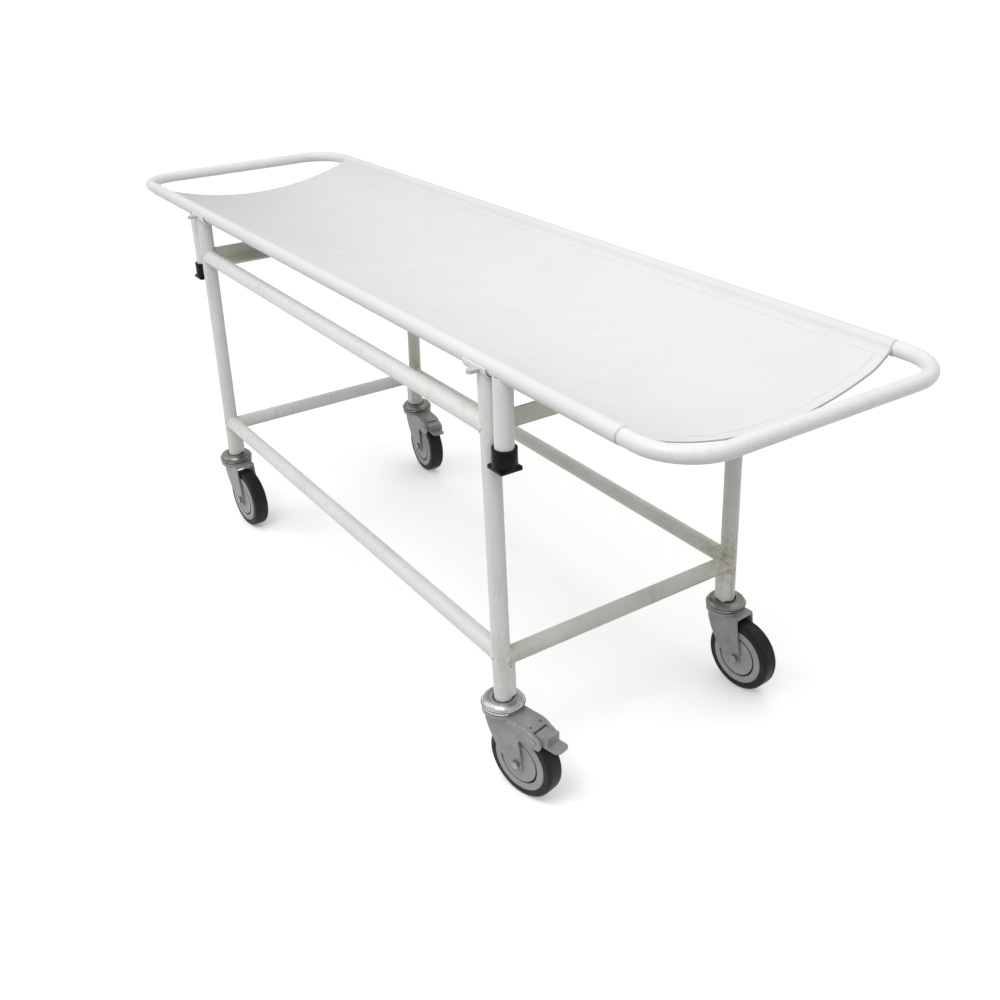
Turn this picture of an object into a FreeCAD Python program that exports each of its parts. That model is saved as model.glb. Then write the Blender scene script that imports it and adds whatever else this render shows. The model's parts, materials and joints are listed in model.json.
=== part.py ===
"""Ambulance cot: a welded tube trolley on four swivel casters that carries a lift-off stretcher.

Millimetres. +X runs to the foot end, +Y to the patient's left, +Z up. The origin is on the floor
under the middle of the cot.
"""
import FreeCAD, Part
import math
import os

from FreeCAD import Vector

os.makedirs("parts", exist_ok=True)

# ---------------------------------------------------------------- driving dimensions
FRAME_TUBE_R = 14.0          # trolley tube, 28 mm outside
STRETCHER_TUBE_R = 11.0      # stretcher loop, 22 mm outside
STRETCHER_LEG_R = 14.0       # stretcher legs, 28 mm outside
TUBE_WALL = 2.0
WELD_GAP = 0.02              # keeps welded neighbours from sharing volume

STRETCHER_Z = 686.0          # axis of the stretcher loop
CASTER_X = 528.0             # swivel axes, either side of the middle
LEG_TOP_X = 511.0            # the legs lean in towards the middle at their tops
LEG_Y = 231.0
LEG_BOTTOM_Z = 150.0
PLUG_MIDDLE_Z = 160.0        # here a leg's axis crosses its caster's swivel axis
LOWER_SIDE_Z = 231.0
LOWER_CROSS_Z = 224.0
UPPER_SIDE_Z = 598.5

RIB_WIDTH = 20.0             # flat bar welded down the inboard side of each leg's foot
RIB_THICK = 4.0
RIB_BOTTOM_Z = 157.0

ANGLE_HEIGHT = 28.0          # rolled angle that ties the legs under each end of the sling
ANGLE_DEPTH = 48.0
ANGLE_THICK = 4.0
ANGLE_BOTTOM_Z = 587.0

STRETCHER_END_X = 886.0
STRETCHER_CORNER_R = 74.0
STRETCHER_LEG_X = 548.5
STRETCHER_LEG_DROP = 5.0     # the legs' walls end this far below the side tube's axis
STRETCHER_LEG_BOTTOM_Z = 553.0

CRADLE_INNER_R = 13.2
CRADLE_WALL = 2.5
CRADLE_INBOARD = 36.0
CRADLE_OUTBOARD = 18.0
CRADLE_LIP = 2.0             # how far the outboard wall rises past the tube's axis
CRADLE_INBOARD_DROP = 9.0    # the inboard wall ends this far below the axis, clear of the sling
LUG_WIDTH = 12.0
LUG_REACH = 31.5             # from the stretcher tube's axis to the lug's end
LUG_THICK = 5.0

CAP_R = 17.8
CAP_RIM_Z = 580.0
CAP_FLOOR = 4.0
CAP_FLANGE = 36.6
CAP_FLANGE_THICK = 4.0
CAP_FLARE_HEIGHT = 7.0

SLEEVE_INNER_R = STRETCHER_TUBE_R + 0.3
SLEEVE_OUTER_R = STRETCHER_TUBE_R + 1.6
SLEEVE_END_X = 790.0
SLING_THICK = 2.0
SLING_SAG = 52.0

WHEEL_R = 62.5
WHEEL_TRAIL = 45.0
TYRE_HALF_WIDTH = 15.0
TREAD_HALF_WIDTH = 9.0
HUB_R = 49.5
HUB_HALF_WIDTH = 15.9
GROOVE_R = 35.5
GROOVE_WIDTH = 3.4
GROOVE_DEPTH = 3.0
BOSS_R = 11.0
SLEEVE_BUSH_R = 6.0          # spacer tube that the hub turns on
RUNNING_CLEARANCE = 0.05
AXLE_R = 4.0

CROWN_R = 33.0
CROWN_BOTTOM_Z = 134.0
CROWN_TOP_Z = 138.0
CROWN_RIM_Z = 140.8
CHEEK_INNER_Y = 18.0
CHEEK_THICK = 3.0
KINGPIN_R = 6.0
CUP_R = 33.5
CUP_SKIRT_Z = 142.8
BALL_R = 2.8
BALL_RING_R = 19.0
BALL_COUNT = 12

BOLT_HEAD_FLATS = 13.0
BOLT_HEAD_HEIGHT = 5.5
NUT_HEIGHT = 6.0
BOLT_END_PAST_NUT = 1.5

HOOD_END_X = 92.0
HOOD_HOLE_X = 66.0
HOOD_HOLE_Y = 11.0
HOOD_HOLE_R = 1.9
PEDAL_PIVOT_X = 80.0
PEDAL_PIVOT_Z = 124.0
PEDAL_PIN_R = 2.5
PEDAL_HALF_WIDTH = 13.5
PEDAL_TAB_Z = 116.0
PEDAL_COVER_Z = 131.0

# corner name: (side along X, side along Y, swivel angle in degrees, has a brake)
CORNERS = {
    "head_right": (-1, -1, 3.0, False),
    "foot_right": (1, -1, 12.5, True),
    "foot_left": (1, 1, 5.0, False),
    "head_left": (-1, 1, -5.0, True),
}
ENDS = {"head": -1, "foot": 1}
SIDES = {"right": -1, "left": 1}

X_AXIS = Vector(1, 0, 0)
Y_AXIS = Vector(0, 1, 0)
Z_AXIS = Vector(0, 0, 1)


# ---------------------------------------------------------------- helpers
def save(node, solids):
    """Write one node: a single solid, or a group of separate solids."""
    if isinstance(solids, (list, tuple)):
        shape = Part.makeCompound(list(solids))
    else:
        shape = solids
    shape.exportStep("parts/" + node + ".step")


def cylinder(radius, start, end):
    along = end - start
    return Part.makeCylinder(radius, along.Length, start, along)


def tube(radius, start, end, wall=TUBE_WALL):
    return cylinder(radius, start, end).cut(cylinder(radius - wall, start, end))


def box(x_range, y_range, z_range):
    corner = Vector(x_range[0], y_range[0], z_range[0])
    size = [high - low for low, high in (x_range, y_range, z_range)]
    return Part.makeBox(size[0], size[1], size[2], corner)


def outline_prism(points, direction, depth):
    """Extrude a closed outline of Vectors along a direction."""
    wire = Part.makePolygon(points + [points[0]])
    return Part.Face(wire).extrude(direction * depth)


def rounded_outline(points, radii):
    """Closed wire through flat points, with each corner rounded by its own radius."""
    edges = []
    tangents = []
    count = len(points)
    for index, radius in enumerate(radii):
        here = points[index]
        back = (points[index - 1] - here).normalize()
        ahead = (points[(index + 1) % count] - here).normalize()
        if radius == 0:
            tangents.append((here, None, here))
            continue
        half_angle = back.getAngle(ahead) / 2
        reach = radius / math.tan(half_angle)
        middle = here + (back + ahead).normalize() * (radius / math.sin(half_angle) - radius)
        tangents.append((here + back * reach, middle, here + ahead * reach))
    for index, (start, middle, end) in enumerate(tangents):
        if middle is not None:
            edges.append(Part.Arc(start, middle, end).toShape())
        following = tangents[(index + 1) % count][0]
        if (following - end).Length > 1e-6:
            edges.append(Part.makeLine(end, following))
    return Part.Wire(edges)


def revolve_about_z(profile):
    """Revolve (radius, height) points and three-point arcs, given as edges, about Z."""
    return Part.Face(Part.Wire(profile)).revolve(Vector(0, 0, 0), Z_AXIS, 360)


def lathe(points):
    vectors = [Vector(radius, 0, height) for radius, height in points]
    wire = Part.makePolygon(vectors + [vectors[0]])
    return Part.Face(wire).revolve(Vector(0, 0, 0), Z_AXIS, 360)


def cross_axis(solid, centre_x, centre_z):
    """Lay a solid made about Z along an axle, with its top towards -Y."""
    turned = solid.copy()
    turned.rotate(Vector(0, 0, 0), X_AXIS, 90)
    turned.translate(Vector(centre_x, 0, centre_z))
    return turned


def leg_x(height):
    """Distance of a leg's axis from the middle at this height."""
    share = (height - PLUG_MIDDLE_Z) / (STRETCHER_Z - PLUG_MIDDLE_Z)
    return CASTER_X + (LEG_TOP_X - CASTER_X) * share


def leg_axis_point(corner, height):
    along, across = CORNERS[corner][0], CORNERS[corner][1]
    return Vector(along * leg_x(height), across * LEG_Y, height)


def at_corner(solid, corner):
    """Move a caster piece from its own frame to its corner, at its swivel angle."""
    along, across, swivel_angle = CORNERS[corner][:3]
    placed = solid.copy()
    placed.rotate(Vector(0, 0, 0), Z_AXIS, swivel_angle)
    placed.translate(Vector(along * CASTER_X, across * LEG_Y, 0))
    return placed


# ---------------------------------------------------------------- trolley frame
def leg_cutters(radius=FRAME_TUBE_R + WELD_GAP):
    cutters = []
    for corner in CORNERS:
        cutters.append(cylinder(radius, leg_axis_point(corner, 0), leg_axis_point(corner, 700)))
    return cutters


def side_rail(side, height):
    """Long rail between the legs of one side, coped to both legs."""
    y = SIDES[side] * LEG_Y
    reach = leg_x(height)
    rail = tube(FRAME_TUBE_R, Vector(-reach, y, height), Vector(reach, y, height))
    cut = rail.cut(leg_cutters())
    return max(cut.Solids, key=lambda piece: piece.Volume)


def side_rail_cutters(height):
    cutters = []
    for across in SIDES.values():
        start = Vector(-leg_x(height), across * LEG_Y, height)
        end = Vector(leg_x(height), across * LEG_Y, height)
        cutters.append(cylinder(FRAME_TUBE_R + WELD_GAP, start, end))
    return cutters


def cross_rail(end):
    """Short low rail between the legs of one end."""
    x = ENDS[end] * leg_x(LOWER_CROSS_Z)
    rail = tube(FRAME_TUBE_R, Vector(x, -LEG_Y, LOWER_CROSS_Z), Vector(x, LEG_Y, LOWER_CROSS_Z))
    cut = rail.cut(leg_cutters() + side_rail_cutters(LOWER_SIDE_Z))
    return max(cut.Solids, key=lambda piece: piece.Volume)


def cross_angle(end):
    """Rolled angle between the legs: upright leaf outboard, flat leaf inboard along its foot."""
    outboard = ENDS[end]
    outer = outboard * (leg_x(ANGLE_BOTTOM_Z) + ANGLE_THICK / 2)
    inner = outer - outboard * ANGLE_DEPTH
    web = outer - outboard * ANGLE_THICK
    top = ANGLE_BOTTOM_Z + ANGLE_HEIGHT
    shelf = ANGLE_BOTTOM_Z + ANGLE_THICK
    section = [(outer, ANGLE_BOTTOM_Z), (outer, top), (web, top), (web, shelf), (inner, shelf),
               (inner, ANGLE_BOTTOM_Z)]
    points = [Vector(x, -LEG_Y, z) for x, z in section]
    bar = outline_prism(points, Y_AXIS, 2 * LEG_Y)
    cut = bar.cut(leg_cutters() + side_rail_cutters(UPPER_SIDE_Z))
    return max(cut.Solids, key=lambda piece: piece.Volume)


def cradle(corner):
    """Hook of split pipe on a leg's top, open upwards, that the stretcher's side tube drops into."""
    along, across = CORNERS[corner][0], CORNERS[corner][1]
    start = Vector(along * (LEG_TOP_X - CRADLE_INBOARD), across * LEG_Y, STRETCHER_Z)
    end = Vector(along * (LEG_TOP_X + CRADLE_OUTBOARD), across * LEG_Y, STRETCHER_Z)
    pipe = tube(CRADLE_INNER_R + CRADLE_WALL, start, end, CRADLE_WALL)
    low_x, high_x = sorted((start.x, end.x))
    x_range = (low_x - 1, high_x + 1)
    outboard = sorted((start.y, start.y + across * 30))
    inboard = sorted((start.y, start.y - across * 30))
    above = [box(x_range, outboard, (STRETCHER_Z + CRADLE_LIP, STRETCHER_Z + 30)),
             box(x_range, inboard, (STRETCHER_Z - CRADLE_INBOARD_DROP, STRETCHER_Z + 30))]
    return pipe.cut(above)


def retaining_lug(corner):
    """Round-ended tongue on the cradle's outer wall."""
    across = CORNERS[corner][1]
    centre = leg_axis_point(corner, STRETCHER_Z - LUG_THICK - 1)
    wall = CRADLE_INNER_R + CRADLE_WALL
    round_y = across * (LUG_REACH - LUG_WIDTH / 2)
    y_low, y_high = sorted((across * (wall - 1), round_y))
    strip = box((-LUG_WIDTH / 2, LUG_WIDTH / 2), (y_low, y_high), (0, LUG_THICK))
    nose = cylinder(LUG_WIDTH / 2, Vector(0, round_y, 0), Vector(0, round_y, LUG_THICK))
    tongue = strip.fuse(nose).removeSplitter()
    tongue.translate(centre)
    outer = cylinder(wall + WELD_GAP, Vector(centre.x - 20, centre.y, STRETCHER_Z),
                     Vector(centre.x + 20, centre.y, STRETCHER_Z))
    return tongue.cut(outer)


def trolley_leg(corner):
    """Leaning tube, cut level at its foot and coped under the cradle at its top."""
    top = leg_axis_point(corner, STRETCHER_Z)
    pipe = tube(FRAME_TUBE_R, leg_axis_point(corner, LEG_BOTTOM_Z - 10), top)
    cradle_outer = cylinder(CRADLE_INNER_R + CRADLE_WALL + WELD_GAP,
                            top - X_AXIS * 40, top + X_AXIS * 40)
    foot = leg_axis_point(corner, 0)
    below = box((foot.x - 40, foot.x + 40), (foot.y - 40, foot.y + 40), (100, LEG_BOTTOM_Z))
    cut = pipe.cut([cradle_outer, below])
    return max(cut.Solids, key=lambda piece: piece.Volume)


def leg_rib(corner):
    """Flat bar down the inboard side of a leg, from the cross rail to just above the caster."""
    across = CORNERS[corner][1]
    edges = [(leg_axis_point(corner, height), height) for height in (RIB_BOTTOM_Z, LOWER_CROSS_Z)]
    (low, low_z), (high, high_z) = edges
    half = RIB_WIDTH / 2
    face_y = across * (LEG_Y - FRAME_TUBE_R - RIB_THICK)
    outline = [Vector(low.x - half, face_y, low_z), Vector(low.x + half, face_y, low_z),
               Vector(high.x + half, face_y, high_z), Vector(high.x - half, face_y, high_z)]
    bar = outline_prism(outline, Y_AXIS * across, RIB_THICK + 3)
    y = across * LEG_Y
    rail = cylinder(FRAME_TUBE_R + WELD_GAP, Vector(high.x, y, LOWER_CROSS_Z),
                    Vector(high.x, 0, LOWER_CROSS_Z))
    cut = bar.cut(leg_cutters() + [rail])
    return max(cut.Solids, key=lambda piece: piece.Volume)


def build_trolley():
    for corner in CORNERS:
        save("leg_" + corner, trolley_leg(corner))
        save("cradle_" + corner, cradle(corner))
    for side in SIDES:
        save("lower_rail_" + side, side_rail(side, LOWER_SIDE_Z))
        save("upper_rail_" + side, side_rail(side, UPPER_SIDE_Z))
    for end in ENDS:
        save("lower_cross_" + end, cross_rail(end))
        save("upper_angle_" + end, cross_angle(end))
    save("retaining_lugs", [retaining_lug(corner) for corner in CORNERS])
    save("leg_ribs", [leg_rib(corner) for corner in CORNERS])


# ---------------------------------------------------------------- casters, in their own frame:
# swivel axis up Z, wheel trailing towards +X, floor at Z = 0
def swivel_cup():
    """Domed head that plugs into the leaning leg and caps the ball race."""
    top = LEG_BOTTOM_Z + 5.5
    seat = LEG_BOTTOM_Z - 0.1
    collar = FRAME_TUBE_R + 0.6
    plug = FRAME_TUBE_R - TUBE_WALL - 0.4
    race_z = CROWN_TOP_Z + 0.4 + 2 * BALL_R + RUNNING_CLEARANCE
    bore = KINGPIN_R + 0.1
    line = Part.makeLine
    dome = Part.Arc(Vector(collar + 3, 0, top), Vector(CUP_R - 2.6, 0, top - 3.1),
                    Vector(CUP_R, 0, top - 8.5)).toShape()
    corners = [
        (CUP_R, top - 8.5), (CUP_R, CUP_SKIRT_Z), (CUP_R - 2.5, CUP_SKIRT_Z), (CUP_R - 2.5, race_z),
        (bore, race_z), (bore, LEG_BOTTOM_Z + 20), (plug, LEG_BOTTOM_Z + 20), (plug, seat),
        (collar, seat), (collar, top), (collar + 3, top),
    ]
    points = [Vector(radius, 0, height) for radius, height in corners]
    edges = [line(first, second) for first, second in zip(points, points[1:])]
    return revolve_about_z(edges + [dome])


def kingpin():
    """Riveted pin that hangs the fork from the cup."""
    head = CROWN_BOTTOM_Z - 0.4
    return lathe([(0, head - 3.5), (9, head - 3.5), (11, head), (KINGPIN_R, head),
                  (KINGPIN_R, LEG_BOTTOM_Z + 18), (0, LEG_BOTTOM_Z + 18)])


def swivel_ball_ring():
    balls = []
    for index in range(BALL_COUNT):
        angle = 2 * math.pi * index / BALL_COUNT
        centre = Vector(BALL_RING_R * math.cos(angle), BALL_RING_R * math.sin(angle),
                        CROWN_TOP_Z + 0.4 + BALL_R)
        balls.append(Part.makeSphere(BALL_R, centre))
    return balls


def cheek_outline(braked):
    """Side view of one fork cheek: crown at the top, round tip about the axle."""
    tip = 13.0
    points = [(-20, CROWN_TOP_Z), (-19, 117), (-11, 98), (2, 78),
              (WHEEL_TRAIL - tip - 2, WHEEL_R - tip), (WHEEL_TRAIL + tip, WHEEL_R - tip)]
    radii = [0, 20, 30, 30, tip - 1, tip - 1]
    if braked:
        points += [(48, 110), (78, 109), (HOOD_END_X, 112), (HOOD_END_X, 124), (66, CROWN_TOP_Z)]
        radii += [5, 12, 4, 6, 30]
    else:
        points += [(45, 118), (42, CROWN_TOP_Z)]
        radii += [20, 0]
    return [Vector(x, 0, z) for x, z in points], radii


def fork_body(braked):
    """Pressed fork: round crown, a roof over the wheel and two cheeks."""
    points, radii = cheek_outline(braked)
    outer_y = CHEEK_INNER_Y + CHEEK_THICK
    side_view = Part.Face(rounded_outline(points, radii))
    slab = side_view.extrude(Y_AXIS * (2 * outer_y))
    slab.translate(Vector(0, -outer_y, 0))
    hollow_face = side_view.makeOffset2D(-CHEEK_THICK)
    roof_drop = CROWN_TOP_Z - CROWN_BOTTOM_Z
    if braked:
        inside = hollow_face.extrude(Y_AXIS * (2 * CHEEK_INNER_Y))
        inside.translate(Vector(0, -CHEEK_INNER_Y, 0))
        below = side_view.extrude(Y_AXIS * (2 * CHEEK_INNER_Y))
        below.translate(Vector(0, -CHEEK_INNER_Y, -roof_drop))
        wheel_space = box((-40, 80), (-CHEEK_INNER_Y, CHEEK_INNER_Y), (0, 108))
        slab = slab.cut([inside, below, wheel_space])
    else:
        slab = slab.cut(box((-40, 80), (-CHEEK_INNER_Y, CHEEK_INNER_Y), (0, CROWN_BOTTOM_Z)))
    crown = cylinder(CROWN_R, Vector(0, 0, CROWN_BOTTOM_Z), Vector(0, 0, CROWN_TOP_Z))
    rim = tube(CROWN_R, Vector(0, 0, CROWN_TOP_Z - 1), Vector(0, 0, CROWN_RIM_Z), 3.5)
    body = slab.fuse([crown, rim]).removeSplitter()
    pin_hole = cylinder(KINGPIN_R + 0.35, Vector(0, 0, 100), Vector(0, 0, 160))
    axle_hole = cylinder(AXLE_R + 0.1, Vector(WHEEL_TRAIL, -40, WHEEL_R),
                         Vector(WHEEL_TRAIL, 40, WHEEL_R))
    return body.cut([pin_hole, axle_hole])


def plain_fork():
    return fork_body(False)


def brake_fork():
    """Fork with a roof that runs back over the tyre, holed for its press tools and the pin."""
    body = fork_body(True)
    pin_hole = cylinder(PEDAL_PIN_R + 0.05, Vector(PEDAL_PIVOT_X, -40, PEDAL_PIVOT_Z),
                        Vector(PEDAL_PIVOT_X, 40, PEDAL_PIVOT_Z))
    tool_holes = []
    for across in (-1, 1):
        foot = Vector(HOOD_HOLE_X, across * HOOD_HOLE_Y, 120)
        tool_holes.append(cylinder(HOOD_HOLE_R, foot, foot + Z_AXIS * 25))
    way_y = PEDAL_HALF_WIDTH + 1
    pedal_way = box((PEDAL_PIVOT_X - 6.5, HOOD_END_X + 5), (-way_y, way_y), (100, 145))
    return body.cut([pin_hole, pedal_way] + tool_holes)


def hexagon_head(across_flats, height, start_z):
    corner_r = across_flats / math.sqrt(3)
    points = []
    for index in range(6):
        angle = math.radians(60 * index)
        points.append(Vector(corner_r * math.cos(angle), corner_r * math.sin(angle), start_z))
    prism = outline_prism(points, Z_AXIS, height)
    bevel = lathe([(0, start_z - 1), (corner_r + 3, start_z - 1),
                   (corner_r + 3, start_z + height - 3), (across_flats / 2, start_z + height),
                   (0, start_z + height)])
    return prism.common(bevel)


def axle_bolt_and_nut():
    """Bolt through both cheeks with its head on the right, and the nut on the left."""
    outer = CHEEK_INNER_Y + CHEEK_THICK + 0.05
    end = outer + NUT_HEIGHT + BOLT_END_PAST_NUT
    shank = cylinder(AXLE_R, Vector(0, 0, -end), Vector(0, 0, outer))
    head = hexagon_head(BOLT_HEAD_FLATS, BOLT_HEAD_HEIGHT, outer)
    bolt = shank.fuse(head).removeSplitter()
    nut = hexagon_head(BOLT_HEAD_FLATS, NUT_HEIGHT, outer).mirror(Vector(0, 0, 0), Z_AXIS)
    nut = nut.cut(cylinder(AXLE_R + 0.02, Vector(0, 0, -60), Vector(0, 0, 0)))
    return [cross_axis(piece, WHEEL_TRAIL, WHEEL_R) for piece in (bolt, nut)]


def spacer_sleeve():
    half = CHEEK_INNER_Y - 0.1
    pipe = tube(SLEEVE_BUSH_R, Vector(0, 0, -half), Vector(0, 0, half), 1.9)
    return cross_axis(pipe, WHEEL_TRAIL, WHEEL_R)


def wheel_hub():
    """Moulded wheel centre with a ring groove in each face and a boss beside each cheek."""
    face = HUB_HALF_WIDTH
    groove_out = GROOVE_R + GROOVE_WIDTH / 2
    groove_in = GROOVE_R - GROOVE_WIDTH / 2
    boss = CHEEK_INNER_Y - 0.5
    bore = SLEEVE_BUSH_R + RUNNING_CLEARANCE
    half = [(HUB_R, face - 1.5), (HUB_R - 1.5, face), (groove_out, face),
            (groove_out, face - GROOVE_DEPTH), (groove_in, face - GROOVE_DEPTH), (groove_in, face),
            (BOSS_R + 2, face + 0.4), (BOSS_R, boss), (bore, boss)]
    mirrored = [(radius, -height) for radius, height in reversed(half)]
    return cross_axis(lathe(half + mirrored), WHEEL_TRAIL, WHEEL_R)


def tyre():
    """Rubber ring: flat tread, rounded shoulders."""
    inner = HUB_R + WELD_GAP
    side = TYRE_HALF_WIDTH
    tread = TREAD_HALF_WIDTH
    shoulder_x = WHEEL_R - 7.5
    corners = [Vector(inner, 0, -side), Vector(shoulder_x, 0, -side), Vector(WHEEL_R, 0, -tread),
               Vector(WHEEL_R, 0, tread), Vector(shoulder_x, 0, side), Vector(inner, 0, side)]
    bulge = Vector(WHEEL_R - 1.6, 0, side - 1.9)
    upper = Part.Arc(corners[3], bulge, corners[4]).toShape()
    lower = Part.Arc(corners[1], Vector(bulge.x, 0, -bulge.z), corners[2]).toShape()
    edges = [Part.makeLine(corners[0], corners[1]), lower, Part.makeLine(corners[2], corners[3]),
             upper, Part.makeLine(corners[4], corners[5]), Part.makeLine(corners[5], corners[0])]
    return cross_axis(revolve_about_z(edges), WHEEL_TRAIL, WHEEL_R)


def brake_pedal():
    """Bent plate: barrel on the pin, a cover that closes the roof, a block, a foot tab and a shoe."""
    half = PEDAL_HALF_WIDTH
    tab_start, tab_end = HOOD_END_X + 8, HOOD_END_X + 30
    block = box((HOOD_END_X + 1, tab_start + 1), (-half, half), (PEDAL_TAB_Z, PEDAL_TAB_Z + 18))
    bridge = box((PEDAL_PIVOT_X + 2, HOOD_END_X + 2), (-half, half), (120, 128))
    cover = box((PEDAL_PIVOT_X - 4.5, HOOD_END_X + 2), (-half, half), (127.5, PEDAL_COVER_Z))
    barrel = cylinder(5.5, Vector(PEDAL_PIVOT_X, -half, PEDAL_PIVOT_Z),
                      Vector(PEDAL_PIVOT_X, half, PEDAL_PIVOT_Z))
    shoe = box((PEDAL_PIVOT_X + 3, PEDAL_PIVOT_X + 9), (-9, 9), (114.5, 121))
    corners = [Vector(tab_start, -half, PEDAL_TAB_Z), Vector(tab_end, -half, PEDAL_TAB_Z),
               Vector(tab_end, half, PEDAL_TAB_Z), Vector(tab_start, half, PEDAL_TAB_Z)]
    tab = Part.Face(rounded_outline(corners, [0, 8, 8, 0])).extrude(Z_AXIS * 3.5)
    body = block.fuse([bridge, cover, barrel, shoe, tab]).removeSplitter()
    bore = cylinder(PEDAL_PIN_R + RUNNING_CLEARANCE, Vector(PEDAL_PIVOT_X, -40, PEDAL_PIVOT_Z),
                    Vector(PEDAL_PIVOT_X, 40, PEDAL_PIVOT_Z))
    return body.cut(bore)


def pedal_pin():
    outer = CHEEK_INNER_Y + CHEEK_THICK
    pin = lathe([(0, -outer - 1.5), (4.2, -outer - 1.5), (4.2, -outer - 0.05),
                 (PEDAL_PIN_R, -outer - 0.05), (PEDAL_PIN_R, outer + 0.05), (4.2, outer + 0.05),
                 (4.2, outer + 1.5), (0, outer + 1.5)])
    return cross_axis(pin, PEDAL_PIVOT_X, PEDAL_PIVOT_Z)


def build_casters():
    forks = {True: brake_fork(), False: plain_fork()}
    pieces = {
        "swivel_cup": swivel_cup(),
        "axle_sleeve": spacer_sleeve(),
        "wheel_hub": wheel_hub(),
        "tyre": tyre(),
    }
    bolt_and_nut = axle_bolt_and_nut()
    pins = []
    balls = []
    for corner, (_, _, _, braked) in CORNERS.items():
        save("fork_" + corner, at_corner(forks[braked], corner))
        for name, solid in pieces.items():
            save(name + "_" + corner, at_corner(solid, corner))
        save("axle_bolt_" + corner, [at_corner(piece, corner) for piece in bolt_and_nut])
        pins.append(at_corner(kingpin(), corner))
        balls += [at_corner(ball, corner) for ball in swivel_ball_ring()]
        if braked:
            save("brake_pedal_" + corner, at_corner(brake_pedal(), corner))
            save("pedal_pin_" + corner, at_corner(pedal_pin(), corner))
    save("kingpins", pins)
    save("swivel_balls", balls)


# ---------------------------------------------------------------- stretcher
def stretcher_loop():
    """One closed tube loop with four round corners."""
    x, y, z = STRETCHER_END_X, LEG_Y, STRETCHER_Z
    corners = [Vector(-x, -y, z), Vector(x, -y, z), Vector(x, y, z), Vector(-x, y, z)]
    start = Vector(0, -y, z)
    path = start_mid_edge(rounded_outline(corners, [STRETCHER_CORNER_R] * 4).Edges, start)
    outer = Part.Wire(Part.makeCircle(STRETCHER_TUBE_R, start, X_AXIS))
    inner = Part.Wire(Part.makeCircle(STRETCHER_TUBE_R - TUBE_WALL, start, X_AXIS))
    solid = path.makePipeShell([outer], True, True)
    bore = path.makePipeShell([inner], True, True)
    return solid.cut(bore)


def start_mid_edge(edges, start):
    """Closed path that starts in the middle of the straight edge that holds the start point."""
    for index, edge in enumerate(edges):
        first, last = edge.Vertexes[0].Point, edge.Vertexes[-1].Point
        on_line = abs((first - start).Length + (last - start).Length - (last - first).Length)
        if on_line < 1e-6:
            ordered = [Part.makeLine(start, last)] + edges[index + 1:] + edges[:index]
            return Part.Wire(ordered + [Part.makeLine(first, start)])
    raise ValueError("no straight edge holds the start point")


def stretcher_leg_point(corner, height):
    along, across = CORNERS[corner][0], CORNERS[corner][1]
    return Vector(along * STRETCHER_LEG_X, across * LEG_Y, height)


def stretcher_leg(corner):
    """Short tube leg, wider than the side tube that it is coped under."""
    pipe = tube(STRETCHER_LEG_R, stretcher_leg_point(corner, STRETCHER_LEG_BOTTOM_Z + 0.05),
                stretcher_leg_point(corner, STRETCHER_Z - STRETCHER_LEG_DROP))
    top = stretcher_leg_point(corner, STRETCHER_Z)
    side_tube = cylinder(STRETCHER_TUBE_R + WELD_GAP, top - X_AXIS * 40, top + X_AXIS * 40)
    cut = pipe.cut(side_tube)
    return max(cut.Solids, key=lambda piece: piece.Volume)


def foot_cap(corner):
    """Moulded foot: round socket that flares into a square base."""
    bottom = STRETCHER_LEG_BOTTOM_Z - CAP_FLOOR
    socket = Part.makeCylinder(CAP_R, CAP_RIM_Z - bottom, Vector(0, 0, bottom))
    half = CAP_FLANGE / 2
    square = [Vector(-half, -half, bottom), Vector(half, -half, bottom),
              Vector(half, half, bottom), Vector(-half, half, bottom)]
    base = Part.Face(rounded_outline(square, [4.0] * 4)).extrude(Z_AXIS * CAP_FLANGE_THICK)
    flare_low = bottom + CAP_FLANGE_THICK
    flare = Part.makeCone(CAP_R + 0.8, CAP_R, CAP_FLARE_HEIGHT, Vector(0, 0, flare_low))
    body = socket.fuse([base, flare]).removeSplitter()
    socket_bore = Part.makeCylinder(STRETCHER_LEG_R + 0.03, 60,
                                    Vector(0, 0, STRETCHER_LEG_BOTTOM_Z))
    body = body.cut(socket_bore)
    body.translate(stretcher_leg_point(corner, 0))
    return body


def side_sleeve(side):
    """Stitched pocket of the sling round one side tube, notched over the stretcher's legs."""
    y = SIDES[side] * LEG_Y
    start, end = Vector(-SLEEVE_END_X, y, STRETCHER_Z), Vector(SLEEVE_END_X, y, STRETCHER_Z)
    pocket = tube(SLEEVE_OUTER_R, start, end, SLEEVE_OUTER_R - SLEEVE_INNER_R)
    notches = []
    for along in ENDS.values():
        low = Vector(along * STRETCHER_LEG_X, y, STRETCHER_Z - 40)
        notches.append(cylinder(STRETCHER_LEG_R + 1, low, low + Z_AXIS * 40))
    return pocket.cut(notches)


def sling():
    """Sagging panel between the pockets: an arc across, the same all along."""
    half_width = LEG_Y - SLEEVE_OUTER_R - 0.4
    edge_z = STRETCHER_Z - 1.0
    middle_z = STRETCHER_Z - SLING_SAG

    def arc(offset):
        return Part.Arc(Vector(-SLEEVE_END_X, -half_width, edge_z - offset),
                        Vector(-SLEEVE_END_X, 0, middle_z - offset),
                        Vector(-SLEEVE_END_X, half_width, edge_z - offset)).toShape()

    upper, lower = arc(0), arc(SLING_THICK)
    sides = []
    for across in (-1, 1):
        sides.append(Part.makeLine(Vector(-SLEEVE_END_X, across * half_width, edge_z),
                                   Vector(-SLEEVE_END_X, across * half_width,
                                          edge_z - SLING_THICK)))
    section = Part.Face(Part.Wire([upper, sides[1], lower, sides[0]]))
    return section.extrude(X_AXIS * (2 * SLEEVE_END_X))


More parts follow.
